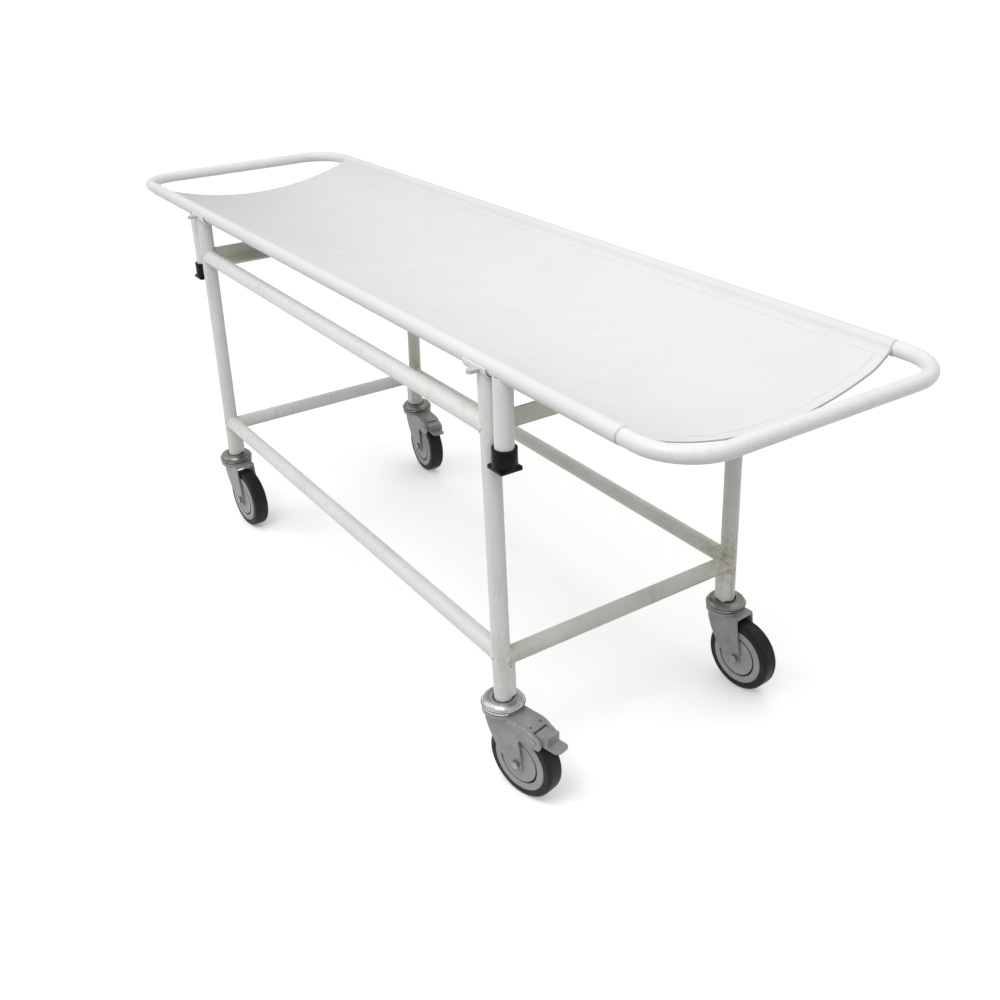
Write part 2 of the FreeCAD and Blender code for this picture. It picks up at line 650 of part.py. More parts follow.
def build_stretcher():
    save("stretcher_loop", stretcher_loop())
    for corner in CORNERS:
        save("stretcher_leg_" + corner, stretcher_leg(corner))
        save("foot_cap_" + corner, foot_cap(corner))
    for side in SIDES:
        save("sleeve_" + side, side_sleeve(side))
    save("sling", sling())


build_trolley()
build_casters()
build_stretcher()
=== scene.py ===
import json
import math
import random

import bpy
import numpy as np
from mathutils import Matrix, Vector


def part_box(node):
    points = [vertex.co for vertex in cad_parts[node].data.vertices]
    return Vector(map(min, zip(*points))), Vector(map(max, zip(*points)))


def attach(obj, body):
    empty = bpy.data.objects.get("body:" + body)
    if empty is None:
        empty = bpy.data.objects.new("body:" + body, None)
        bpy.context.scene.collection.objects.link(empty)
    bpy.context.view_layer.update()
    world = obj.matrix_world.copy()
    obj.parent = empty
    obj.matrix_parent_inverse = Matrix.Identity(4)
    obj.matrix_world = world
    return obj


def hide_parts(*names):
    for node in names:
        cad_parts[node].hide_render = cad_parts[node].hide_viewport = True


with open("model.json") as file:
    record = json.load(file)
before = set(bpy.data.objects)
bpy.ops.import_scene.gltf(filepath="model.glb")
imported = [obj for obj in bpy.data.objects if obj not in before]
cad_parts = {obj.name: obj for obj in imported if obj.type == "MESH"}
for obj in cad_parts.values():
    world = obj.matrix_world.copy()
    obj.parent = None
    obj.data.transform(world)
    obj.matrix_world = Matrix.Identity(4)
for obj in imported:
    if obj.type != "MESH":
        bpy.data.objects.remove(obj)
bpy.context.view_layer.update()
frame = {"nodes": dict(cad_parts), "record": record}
nodes = frame["nodes"]

# ---------------------------------------------------------------- driving dimensions, metres
# Most places come from the CAD nodes' boxes. +X is the foot end, +Y the patient's left, +Z up.
CORNERS = {
    "head_right": (-1, -1, 3.0),     # side along X, side along Y, swivel angle in degrees
    "foot_right": (1, -1, 12.5),
    "foot_left": (1, 1, 5.0),
    "head_left": (-1, 1, -5.0),
}
BRAKED = ("foot_right", "head_left")
ENDS = {"head": -1, "foot": 1}
SIDES = {"right": -1, "left": 1}

CLOTH_CLEARANCE = 0.0008     # cloth's middle surface outside the stretcher tube
SEAM_DISTANCE = 0.0133       # from the side tube's axis to the pocket's seam
SEAM_DIP = math.radians(8)   # the seam lies this far below the axis, seen along the tube
SEAM_ALLOWANCE = 0.010       # cloth past the seam, under the panel
ALLOWANCE_DIP = math.radians(38)
SHEET_THICKNESS = 0.0011
HEAD_SAG = 0.0345            # middle of the panel below its seams, as cut, at each free end
FOOT_SAG = 0.0480
FOOT_SKEW = 0.010            # the foot end's free edge is this much further out on the left side
POCKET_STEPS = 30
PANEL_STEPS = 48
LENGTH_STEPS = 170
HEM_DEPTH = 0.018
HEM_STITCH_INSET = 0.004     # from the hem's turned-under edge to its row of stitches
SLACK = 0.0012               # how far the panel's threads wander along the cloth
CLOTH_FRAMES = 32

STITCH_LENGTH = 0.0034
STITCH_PITCH = 0.0048
THREAD_R = 0.00035

WELD_R = 0.0015
WELD_STEP = 0.0012
WELD_RIPPLE = 0.0034         # length of one ripple of the bead
LEG_TOP_X = 0.511            # where the leaning legs' axes meet the stretcher's height
PLUG_MIDDLE_Z = 0.160        # where they cross the casters' swivel axes
GROOVE_R = 0.0355            # ring groove in each wheel centre's face
GROOVE_WIDTH = 0.0030
GROOVE_FLOOR = 0.0136        # from the wheel's middle plane
NECK_SHADE_R = 0.0158            # painted shade ring in the neck of each swivel cup
NECK_SHADE_THICK = 0.0008
NECK_SHADE_DEPTH = 0.0145        # below the cup's top
CUP_LINE_RISE = 0.0045       # painted shade line round each cup, above the cup's lower edge
CUP_LINE_THICK = 0.00060
ANGLE_THICK = 0.004          # upper cross angles
RIB_HALF_WIDTH = 0.010       # flat bar down each leg's foot, and how far it stands off the axis
RIB_REACH = 0.018

HOOD_EDGE_Y = 0.0206         # long edge of a braked fork's roof, beside and ahead of the swivel
HOOD_EDGE_R = 0.00045
HOOD_EDGE = [                # that edge as (ahead of the swivel, height)
    (0.036, 0.1377),
    (0.0584, 0.1377),
    (0.0658, 0.1368),
    (0.0727, 0.1341),
    (0.0886, 0.1255),
    (0.0916, 0.1215),
]

DOME = (0.46, 1.17)          # light from eye level and from straight above
LOWER_LIGHT = (0.45, 0.45, 0.44)
HORIZON = (-0.12, 0.02)      # heights over which the lower light fades into the dome
LAMPS = [                    # name, place, size, watts
    ("key", (0.9, -1.3, 2.6), 1.2, 22),
    ("rim", (-1.8, -2.4, 1.9), 1.4, 12),
]
LAMP_TARGET = Vector((0.2, 0, 0.5))
FLOOR_REACH = 30

CAMERA_PLACE = Vector((1.666, -0.9706, 1.2203))
CAMERA_AZIMUTH = math.radians(56.46)
CAMERA_ELEVATION = math.radians(27.67)
CAMERA_ROLL = math.radians(-1.40)
CAMERA_LENS = 40.345
CAMERA_SHIFT = (-0.0062, -0.0111)


def node_middle(node):
    """Middle of a CAD node's box."""
    low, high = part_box(node)
    return (low + high) / 2


loop_low, loop_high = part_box("stretcher_loop")
TUBE_R = (loop_high.z - loop_low.z) / 2
TUBE_Z = (loop_high.z + loop_low.z) / 2
SIDE_Y = loop_high.y - TUBE_R
CLOTH_END_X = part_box("sleeve_right")[1].x
leg_low, leg_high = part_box("leg_foot_left")
LEG_R = (leg_high.y - leg_low.y) / 2
LEG_Y = (leg_high.y + leg_low.y) / 2
CASTER_X = node_middle("swivel_cup_foot_left").x


def leg_x(height):
    """Distance of a trolley leg's axis from the middle at this height."""
    share = (height - PLUG_MIDDLE_Z) / (TUBE_Z - PLUG_MIDDLE_Z)
    return CASTER_X + (LEG_TOP_X - CASTER_X) * share


# ---------------------------------------------------------------- materials
RANGE_SOCKETS = ("From Min", "From Max", "To Min", "To Max")


class Look:
    """A material under construction: short ways to add nodes to its tree."""

    def __init__(self, name, roughness=0.5, metallic=0.0, **plain):
        self.material = bpy.data.materials.new(name)
        self.material.use_nodes = True
        self.tree = self.material.node_tree
        self.shader = self.tree.nodes["Principled BSDF"]
        self.place = self.tree.nodes.new("ShaderNodeTexCoord").outputs["Object"]
        self.shader.inputs["Roughness"].default_value = roughness
        self.shader.inputs["Metallic"].default_value = metallic
        for socket, value in plain.items():
            self.shader.inputs[socket.replace("_", " ")].default_value = value

    def link(self, source, target):
        """Join a node's output, or a plain value, to an input."""
        if isinstance(source, bpy.types.NodeSocket):
            self.tree.links.new(source, target)
        else:
            target.default_value = source

    def stretched(self, stretch, source=None):
        """A place with its three numbers scaled, which stretches what is drawn by it."""
        mapping = self.tree.nodes.new("ShaderNodeMapping")
        mapping.inputs["Scale"].default_value = stretch
        self.link(source or self.place, mapping.inputs["Vector"])
        return mapping.outputs["Vector"]

    def noise(self, scale, detail=3.0, roughness=0.5, distortion=0.0, place=None):
        node = self.tree.nodes.new("ShaderNodeTexNoise")
        node.inputs["Scale"].default_value = scale
        node.inputs["Detail"].default_value = detail
        node.inputs["Roughness"].default_value = roughness
        node.inputs["Distortion"].default_value = distortion
        self.link(place or self.place, node.inputs["Vector"])
        return node.outputs["Fac"]

    def bands(self, scale, direction, place, distortion=0.0, kind="BANDS"):
        """Even waves across a direction, or rings about it."""
        node = self.tree.nodes.new("ShaderNodeTexWave")
        node.wave_type = kind
        if kind == "BANDS":
            node.bands_direction = direction
        else:
            node.rings_direction = direction
        node.inputs["Scale"].default_value = scale
        node.inputs["Distortion"].default_value = distortion
        self.link(place, node.inputs["Vector"])
        return node.outputs["Fac"]

    def ramp(self, source, low, high, start=0.0, end=1.0):
        """Source between low and high, spread over start to end, clamped."""
        node = self.tree.nodes.new("ShaderNodeMapRange")
        self.link(source, node.inputs["Value"])
        for name, value in zip(RANGE_SOCKETS, (low, high, start, end)):
            node.inputs[name].default_value = value
        return node.outputs["Result"]

    def maths(self, operation, first, second=0.0):
        node = self.tree.nodes.new("ShaderNodeMath")
        node.operation = operation
        self.link(first, node.inputs[0])
        self.link(second, node.inputs[1])
        return node.outputs[0]

    def mix(self, share, first, second):
        node = self.tree.nodes.new("ShaderNodeMix")
        node.data_type = "RGBA"
        colour_inputs = [socket for socket in node.inputs if socket.type == "RGBA"]
        self.link(share, node.inputs["Factor"])
        for socket, value in zip(colour_inputs, (first, second)):
            self.link(value if isinstance(value, bpy.types.NodeSocket) else (*value, 1.0), socket)
        return next(socket for socket in node.outputs if socket.type == "RGBA")

    def split(self, source=None):
        """The three numbers of a place, by axis name."""
        node = self.tree.nodes.new("ShaderNodeSeparateXYZ")
        self.link(source or self.place, node.inputs[0])
        return node.outputs

    def from_joint(self):
        """Distance to the nearest place where rails meet a leg."""
        parts = self.split()
        along = self.maths("SUBTRACT", self.maths("ABSOLUTE", parts["X"]), leg_x(0.3))
        across = self.maths("SUBTRACT", self.maths("ABSOLUTE", parts["Y"]), LEG_Y)
        flat = self.maths("ADD", self.maths("MULTIPLY", along, along),
                          self.maths("MULTIPLY", across, across))
        distances = []
        for node in ("lower_cross_foot", "upper_rail_right"):
            rise = self.maths("SUBTRACT", parts["Z"], node_middle(node).z)
            square = self.maths("ADD", flat, self.maths("MULTIPLY", rise, rise))
            distances.append(self.maths("SQRT", square))
        return self.maths("MINIMUM", *distances)

    def finish(self, colour, roughness=None, bumps=()):
        """Colour and roughness go to the shader; bumps are (height, distance) pairs."""
        self.link(colour, self.shader.inputs["Base Color"])
        if roughness is not None:
            self.link(roughness, self.shader.inputs["Roughness"])
        previous = None
        for height, distance in bumps:
            node = self.tree.nodes.new("ShaderNodeBump")
            node.inputs["Distance"].default_value = distance
            self.link(height, node.inputs["Height"])
            if previous is not None:
                self.link(previous, node.inputs["Normal"])
            previous = node.outputs["Normal"]
        if previous is not None:
            self.link(previous, self.shader.inputs["Normal"])
        return self.material


def enamel(name, clean, aged, wear, joint_grime=0.0):
    """Brushed-on white enamel: orange peel, faint runs, random ageing patches with painted shade growing
    towards the floor, and small chips.
    """
    look = Look(name, roughness=0.35, Coat_Weight=0.15, Coat_Roughness=0.2)
    patches = look.noise(9.0, 4.0, 0.6)
    # Painted shade: the aged, yellower tone is weighted towards the floor, standing in for the olive shade
    # low on the frame.
    low_down = look.ramp(look.split()["Z"], 0.66, 0.20, 0.0, 0.55)
    age_and_shade = look.maths("MULTIPLY", look.ramp(patches, 0.35, 0.70), look.maths("ADD", low_down, 0.25))
    colour = look.mix(age_and_shade, clean, aged)
    streaks = look.noise(60.0, 3.0, 0.6, place=look.stretched((1.0, 1.0, 0.12)))
    grime = look.maths("MULTIPLY", look.ramp(streaks, 0.58, 0.78), 0.30 * wear)
    colour = look.mix(grime, colour, (0.36, 0.34, 0.26))
    if joint_grime > 0:
        blotches = look.ramp(look.noise(95.0, 4.0, 0.7), 0.42, 0.62)
        near = look.ramp(look.from_joint(), 0.12, 0.018)
        leftward = look.ramp(look.split()["Y"], -0.20, 0.18, 0.25, 1.0)
        share = look.maths("MULTIPLY", look.maths("MULTIPLY", near, near), joint_grime)
        share = look.maths("MULTIPLY", share, leftward)
        colour = look.mix(look.maths("MULTIPLY", share, 0.45), colour, (0.50, 0.50, 0.34))
        colour = look.mix(look.maths("MULTIPLY", share, blotches), colour, (0.30, 0.29, 0.17))
    specks = look.ramp(look.noise(210.0, 2.0), 0.745, 0.765)
    where = look.ramp(look.noise(14.0, 2.0), 0.52, 0.66)
    chips = look.maths("MULTIPLY", look.maths("MULTIPLY", specks, where), wear)
    colour = look.mix(chips, colour, (0.16, 0.13, 0.10))
    peel = look.noise(420.0, 2.0, 0.6)
    runs = look.noise(70.0, 2.0, 0.5, place=look.stretched((1.0, 1.0, 0.35)))
    roughness = look.ramp(look.noise(30.0, 4.0, 0.6), 0.3, 0.7, 0.26, 0.46)
    return look.finish(colour, roughness, [(runs, 0.0012), (peel, 0.00035), (chips, -0.0002)])


def zinc(name, tone, roughness, mottle, metal=1.0, turned=False):
    """Zinc plating: cloudy tone, fine scratches, and turning rings where it was spun."""
    look = Look(name, metallic=metal)
    clouds = look.noise(38.0, 5.0, 0.65)
    dark = tuple(value * (1.0 - mottle) for value in tone)
    bright = tuple(min(1.0, value * (1.0 + mottle * 0.5)) for value in tone)
    colour = look.mix(look.ramp(clouds, 0.3, 0.7), dark, bright)
    stains = look.ramp(look.noise(120.0, 4.0, 0.7), 0.60, 0.72)
    colour = look.mix(look.maths("MULTIPLY", stains, mottle), colour, (0.20, 0.19, 0.17))
    scratches = look.noise(900.0, 2.0, 0.5, place=look.stretched((1.0, 0.12, 0.35)))
    rough = look.ramp(clouds, 0.3, 0.7, roughness * 0.8, roughness * 1.3)
    bumps = [(look.noise(260.0, 3.0, 0.6), 0.0003), (scratches, 0.00012)]
    if turned:
        generated = look.tree.nodes.new("ShaderNodeTexCoord").outputs["Generated"]
        centred = look.tree.nodes.new("ShaderNodeMapping")
        centred.inputs["Location"].default_value = (-0.5, -0.5, 0.0)
        look.link(generated, centred.inputs["Vector"])
        bumps.append((look.bands(60.0, "Z", centred.outputs["Vector"], kind="RINGS"), 0.00003))
    return look.finish(colour, rough, bumps)


def rubber():
    """Black tyre rubber, dusty in patches and scuffed round its tread."""
    look = Look("tyre rubber", roughness=0.6, Specular_IOR_Level=0.25)
    dust = look.ramp(look.noise(55.0, 5.0, 0.7), 0.45, 0.75)
    colour = look.mix(look.maths("MULTIPLY", dust, 0.5), (0.008, 0.008, 0.0085), (0.028, 0.027, 0.025))
    scuffs = look.noise(300.0, 3.0, 0.6, place=look.stretched((1.0, 0.25, 1.0)))
    roughness = look.ramp(look.noise(40.0), 0.3, 0.7, 0.42, 0.66)
    return look.finish(colour, roughness, [(scuffs, 0.0004), (look.noise(1500.0, 2.0), 0.0001)])


def moulded(name, tone, soil, roughness, grain, gloss=0.5):
    """Moulded plastic with a fine grain and soil in its low spots."""
    look = Look(name, Specular_IOR_Level=gloss)
    patches = look.ramp(look.noise(45.0, 5.0, 0.7), 0.42, 0.75)
    colour = look.mix(look.maths("MULTIPLY", patches, 0.55), tone, soil)
    rough = look.ramp(look.noise(60.0, 3.0), 0.3, 0.7, roughness * 0.8, roughness * 1.25)
    return look.finish(colour, rough, [(look.noise(grain, 2.0), 0.00015), (look.noise(90.0, 3.0), 0.0003)])


def coated_cloth(name):
    """White coated cloth: faint weave, handling marks, painted shade at the head end and a painted shade
    line along the folded ends.
    """
    look = Look(name, Sheen_Weight=0.12, Sheen_Roughness=0.5)
    cut = look.tree.nodes.new("ShaderNodeUVMap")
    cut.uv_map = "cut"
    cut = cut.outputs["UV"]
    across = look.bands(210.0, "X", cut, distortion=0.4)
    along = look.bands(210.0, "Y", cut, distortion=0.4)
    weave = look.maths("MAXIMUM", across, along)
    marks = look.ramp(look.noise(5.0, 5.0, 0.65), 0.45, 0.75)
    colour = look.mix(look.maths("MULTIPLY", marks, 0.5), (0.705, 0.702, 0.705), (0.65, 0.647, 0.645))
    slub = look.noise(320.0, 2.0, 0.5, place=look.stretched((0.08, 1.0, 1.0), cut))
    colour = look.mix(look.maths("MULTIPLY", look.ramp(slub, 0.55, 0.8), 0.08), colour, (0.55, 0.55, 0.53))
    parts = look.split()
    beside = look.maths("ABSOLUTE", parts["Y"])
    # Painted shade: the panel is greyed towards the head end, most on the near (right) side, standing in
    # for the shade on the cloth's near slope there.
    headward = look.maths("MULTIPLY", look.ramp(parts["X"], 0.1, -0.75),
                          look.ramp(beside, SIDE_Y - 0.009, SIDE_Y - 0.018))
    sideward = look.ramp(parts["Y"], 0.12, -0.20)
    head_shade = look.maths("MULTIPLY", look.maths("MULTIPLY", headward, headward), sideward)
    head_shade = look.maths("ADD", look.maths("MULTIPLY", head_shade, 0.75), look.maths("MULTIPLY", headward, 0.25))
    colour = look.mix(head_shade, colour, (0.50, 0.50, 0.505))
    # Painted shade: a dark line along the outermost millimetres of each folded free end, standing in for
    # the shaded face of the hem's fold.
    cut_along = look.maths("ABSOLUTE", look.split(cut)["Y"])
    fold = look.ramp(cut_along, CLOTH_END_X - 0.0026, CLOTH_END_X - 0.0006)
    on_panel = look.ramp(beside, SIDE_Y - 0.010, SIDE_Y - 0.018, 0.3, 0.7)
    colour = look.mix(look.maths("MULTIPLY", fold, on_panel), colour, (0.13, 0.125, 0.12))
    roughness = look.ramp(look.noise(18.0, 4.0, 0.6), 0.3, 0.7, 0.42, 0.58)
    return look.finish(colour, roughness, [(look.noise(26.0, 3.0, 0.5), 0.0010), (weave, 0.00012)])


def plain_floor():
    """Nearly white paper floor that glows a little, so it stays as bright as the dome."""
    look = Look("floor", roughness=0.8, Emission_Color=(1.0, 1.0, 1.0, 1.0), Emission_Strength=0.22)
    colour = look.mix(look.ramp(look.noise(1.5, 2.0), 0.3, 0.7), (0.945, 0.945, 0.94), (0.955, 0.955, 0.95))
    return look.finish(colour, None, [(look.noise(40.0), 0.0004)])


FRAME_PAINT = enamel("frame paint", (0.75, 0.745, 0.745), (0.66, 0.65, 0.615), 1.0, joint_grime=0.5)
# A darker copy of the frame paint, with heavier joint grime and chips: the extra darkness is painted shade
# on these members.
OLD_SHADED_PAINT = enamel("old paint with painted shade", (0.62, 0.62, 0.59), (0.50, 0.495, 0.44), 1.4, joint_grime=0.9)
# Worn paint, darkened as painted shade, for the retaining lugs.
WORN_SHADED_PAINT = enamel("worn paint with painted shade", (0.50, 0.50, 0.48), (0.30, 0.29, 0.26), 2.0)
STRETCHER_PAINT = enamel("stretcher paint", (0.745, 0.74, 0.745), (0.64, 0.635, 0.61), 0.45)
# A darker, olive copy of the frame paint for the upper cross angles: painted shade for their place under
# the sling.
SHADED_ANGLE_PAINT = enamel("olive paint with painted shade", (0.68, 0.685, 0.60), (0.55, 0.55, 0.455), 1.0)
POLISHED_ZINC = zinc("polished zinc", (0.54, 0.535, 0.53), 0.22, 0.30, metal=0.95, turned=True)
ZINC_PLATE = zinc("zinc plate", (0.295, 0.303, 0.30), 0.36, 0.26, metal=0.12)
BOLT_STEEL = zinc("bolt steel", (0.33, 0.33, 0.335), 0.30, 0.35, metal=0.8)
DULL_ZINC = zinc("dull zinc", (0.27, 0.268, 0.25), 0.30, 0.40, metal=0.9, turned=True)
# Bright zinc for the painted highlight along each braked fork's roof edges.
HIGHLIGHT_EDGE = zinc("painted highlight edge", (0.66, 0.66, 0.65), 0.30, 0.45, metal=0.9)
# Near-black for the rings of painted shade in the cups and wheel grooves.
SHADE_BLACK = moulded("painted shade black", (0.008, 0.008, 0.008), (0.02, 0.018, 0.016), 0.6, 500.0, gloss=0.1)
TYRE = rubber()
HUB = moulded("hub plastic", (0.37, 0.365, 0.375), (0.23, 0.225, 0.215), 0.50, 900.0)
CAP = moulded("cap plastic", (0.004, 0.004, 0.0045), (0.009, 0.009, 0.009), 0.38, 600.0, gloss=0.12)
CLOTH = coated_cloth("coated cloth")
THREAD = moulded("white thread", (0.74, 0.74, 0.72), (0.60, 0.59, 0.56), 0.75, 2500.0)
OLD_SHADED_NODES = ("leg_foot_left", "leg_head_left", "lower_rail_left", "lower_cross_foot")
SLOT_LOOKS = {
    "frame_paint": FRAME_PAINT,
    "stretcher_paint": STRETCHER_PAINT,
    "polished_zinc": POLISHED_ZINC,
    "zinc_plate": ZINC_PLATE,
    "bolt_steel": BOLT_STEEL,
    "hub_plastic": HUB,
    "tyre_rubber": TYRE,
    "cap_plastic": CAP,
    "sling_cloth": CLOTH,
}


def dress_cad_nodes():
    """Give every CAD node the look of its material slot."""
    for entry in frame["record"]["subparts"]:
        mesh = nodes[entry["node"]].data
        mesh.materials.clear()
        if entry["node"].startswith("upper_angle"):
            mesh.materials.append(SHADED_ANGLE_PAINT)
        elif entry["node"] == "retaining_lugs":
            mesh.materials.append(WORN_SHADED_PAINT)
        elif entry["node"] in OLD_SHADED_NODES:
            mesh.materials.append(OLD_SHADED_PAINT)
        elif entry["node"].startswith("swivel_cup") and not entry["node"].endswith("foot_right"):
            mesh.materials.append(DULL_ZINC)
        else:
            mesh.materials.append(SLOT_LOOKS[entry["material_slot"]])


def soften_edges(node, width, segments=2):
    """Small rounds on a CAD node's sharp edges."""
    piece = nodes[node]
    weld = piece.modifiers.new("join", "WELD")
    weld.merge_threshold = 0.00002
    bevel = piece.modifiers.new("round", "BEVEL")
    bevel.width = width
    bevel.segments = segments
    bevel.limit_method = "ANGLE"
    bevel.angle_limit = math.radians(50)
    bevel.harden_normals = True


# ---------------------------------------------------------------- mesh helpers
def mesh_piece(name, points, faces, material, body, smooth=True):
    """A mesh object that rides on a body, or on none."""
    mesh = bpy.data.meshes.new(name)
    mesh.from_pydata([tuple(point) for point in points], [], faces)
    mesh.materials.append(material)
    mesh.polygons.foreach_set("use_smooth", [smooth] * len(mesh.polygons))
    mesh.update()
    piece = bpy.data.objects.new(name, mesh)
    bpy.context.scene.collection.objects.link(piece)
    if body is not None:
        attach(piece, body)
    return piece


def ring_frame(line, closed):
    """Side and up directions across a line, at each of its points."""
    if closed:
        tangents = np.roll(line, -1, axis=0) - np.roll(line, 1, axis=0)
    else:
        tangents = np.gradient(line, axis=0)
    tangents = tangents / np.linalg.norm(tangents, axis=1)[:, None]
    side = np.cross(tangents[0], (0.13, 0.27, 0.95))
    sides = []
    for tangent in tangents:
        side = side - tangent * (side @ tangent)
        side = side / np.linalg.norm(side)
        sides.append(side)
    sides = np.array(sides)
    return sides, np.cross(tangents, sides)


def swept_tube(line, radii, closed, around=8):
    """Points and faces of a tube along a line, with a radius at each point."""
    line = np.asarray(line, float)
    sides, ups = ring_frame(line, closed)
    turns = np.linspace(0, 2 * math.pi, around, endpoint=False)
    spokes = (np.cos(turns)[None, :, None] * sides[:, None, :]
              + np.sin(turns)[None, :, None] * ups[:, None, :])
    rings = line[:, None, :] + radii[:, None, None] * spokes
    count = len(line)
    faces = []
    for row in range(count if closed else count - 1):
        following = (row + 1) % count
        for column in range(around):
            beside = (column + 1) % around
            faces.append((row * around + column, row * around + beside,
                          following * around + beside, following * around + column))
    if not closed:
        faces.append(tuple(reversed(range(around))))
        faces.append(tuple(range((count - 1) * around, count * around)))
    return rings.reshape(-1, 3), faces


def lengths_along(line):
    """Length of the line from its start to each of its points."""
    return np.concatenate([[0], np.cumsum(np.linalg.norm(np.diff(line, axis=0), axis=1))])


def drifting(rng, count, window):
    """Smoothed random numbers, one for each point of a line."""
    draws = rng.normal(0, 1, count + window - 1)
    return np.convolve(draws, np.ones(window) / window, "valid")


def spaced(line, step, closed=False):
    """The same line with points about one step apart."""
    line = np.asarray(line, float)
    if closed:
        line = np.vstack([line, line[:1]])
    lengths = lengths_along(line)
    count = max(3, int(round(lengths[-1] / step)))
    at = np.linspace(0, lengths[-1], count + 1)
    points = np.stack([np.interp(at, lengths, line[:, axis]) for axis in range(3)], axis=1)
    return points[:-1] if closed else points


class Gathered:
    """Several meshes collected into one piece."""

    def __init__(self):
        self.points = []
        self.faces = []

    def add(self, points, faces):
        start = len(self.points)
        self.points.extend(tuple(point) for point in points)
        self.faces.extend(tuple(start + index for index in face) for face in faces)


# ---------------------------------------------------------------- sling
def pocket_section():
    """Points across one pocket, as (inboard, up) from the tube's axis, ending at the seam."""
    radius = TUBE_R + CLOTH_CLEARANCE
    half_angle = math.acos(radius / SEAM_DISTANCE)
    seam = np.array([math.cos(-SEAM_DIP), math.sin(-SEAM_DIP)]) * SEAM_DISTANCE
    slope = np.array([math.cos(-ALLOWANCE_DIP), math.sin(-ALLOWANCE_DIP)])
    below = np.array([slope[1], -slope[0]]) * SHEET_THICKNESS
    points = [seam + slope * SEAM_ALLOWANCE * share + below for share in (1.0, 0.66, 0.33, 0.0)]
    first = -SEAM_DIP - half_angle
    last = -SEAM_DIP + half_angle - 2 * math.pi
    for angle in np.linspace(first, last, POCKET_STEPS):
        points.append(np.array([math.cos(angle), math.sin(angle)]) * radius)
    return points, seam


def sling_section(sag):
    """(y, z) points across the whole sling, and the indexes of the two seams."""
    pocket, seam = pocket_section()
    right = [(-SIDE_Y + inboard, TUBE_Z + up) for inboard, up in pocket]
    left = [(SIDE_Y - inboard, TUBE_Z + up) for inboard, up in reversed(pocket)]
    seam_y, seam_z = SIDE_Y - seam[0], TUBE_Z + seam[1]
    panel = []
    for share in np.linspace(-1, 1, PANEL_STEPS + 1):
        panel.append((share * seam_y, seam_z - sag * (1 - share * share)))
    return right + panel + left, (len(right), len(right) + PANEL_STEPS)


def settle(points, rows, columns, pinned):
    """Let the panel hang between its seams under its own weight."""
    faces = grid_faces(rows, columns)
    piece = mesh_piece("hanging cloth", points, faces, CLOTH, None)
    group = piece.vertex_groups.new(name="held")
    group.add([int(index) for index in pinned], 1.0, "REPLACE")
    modifier = piece.modifiers.new("cloth", "CLOTH")
    cloth = modifier.settings
    cloth.quality = 8
    cloth.mass = 0.05
    cloth.air_damping = 4.0
    cloth.tension_stiffness = 40.0
    cloth.compression_stiffness = 40.0
    cloth.shear_stiffness = 15.0
    cloth.bending_stiffness = 1.2
    cloth.shrink_min = -0.004
    cloth.vertex_group_mass = "held"
    modifier.point_cache.frame_end = CLOTH_FRAMES
    scene = bpy.context.scene
    for step in range(1, CLOTH_FRAMES + 1):
        scene.frame_set(step)
    settled = piece.evaluated_get(bpy.context.evaluated_depsgraph_get())
    result = np.array([vertex.co for vertex in settled.data.vertices])
    scene.frame_set(1)
    bpy.data.objects.remove(piece)
    return result


def grid_faces(rows, columns):
    """Four-sided faces over rows of points."""
    faces = []
    for row in range(rows - 1):
        for column in range(columns - 1):
            first = row * columns + column
            faces.append((first, first + 1, first + columns + 1, first + columns))
    return faces


def grid_normals(grid):
    """Direction square to the cloth at each point of its grid, up on the panel."""
    along = np.gradient(grid, axis=0)
    across = np.gradient(grid, axis=1)
    normals = np.cross(along, across)
    return normals / np.linalg.norm(normals, axis=2)[:, :, None]


def folded_hems(grid):
    """Add the turned-under hem at both free ends of the grid of points."""
    normals = grid_normals(grid)
    reach = int(round(HEM_DEPTH / (2 * CLOTH_END_X / LENGTH_STEPS)))

    def fold(edge, direction):
        """Rows from the turned-under edge out to the fold at one end."""
        fold_rows = []
        for offset in range(reach, -1, -1):
            index = edge - direction * offset
            fold_rows.append(grid[index] - normals[index] * SHEET_THICKNESS * 1.3)
        outward = np.array((direction, 0.0, 0.0))
        middle = grid[edge] - normals[edge] * SHEET_THICKNESS * 0.65
        fold_rows.append(middle + outward * SHEET_THICKNESS * 0.6)
        return fold_rows

    head = fold(0, -1)
    foot = fold(len(grid) - 1, 1)
    return np.concatenate([np.array(head), grid, np.array(foot[::-1])])


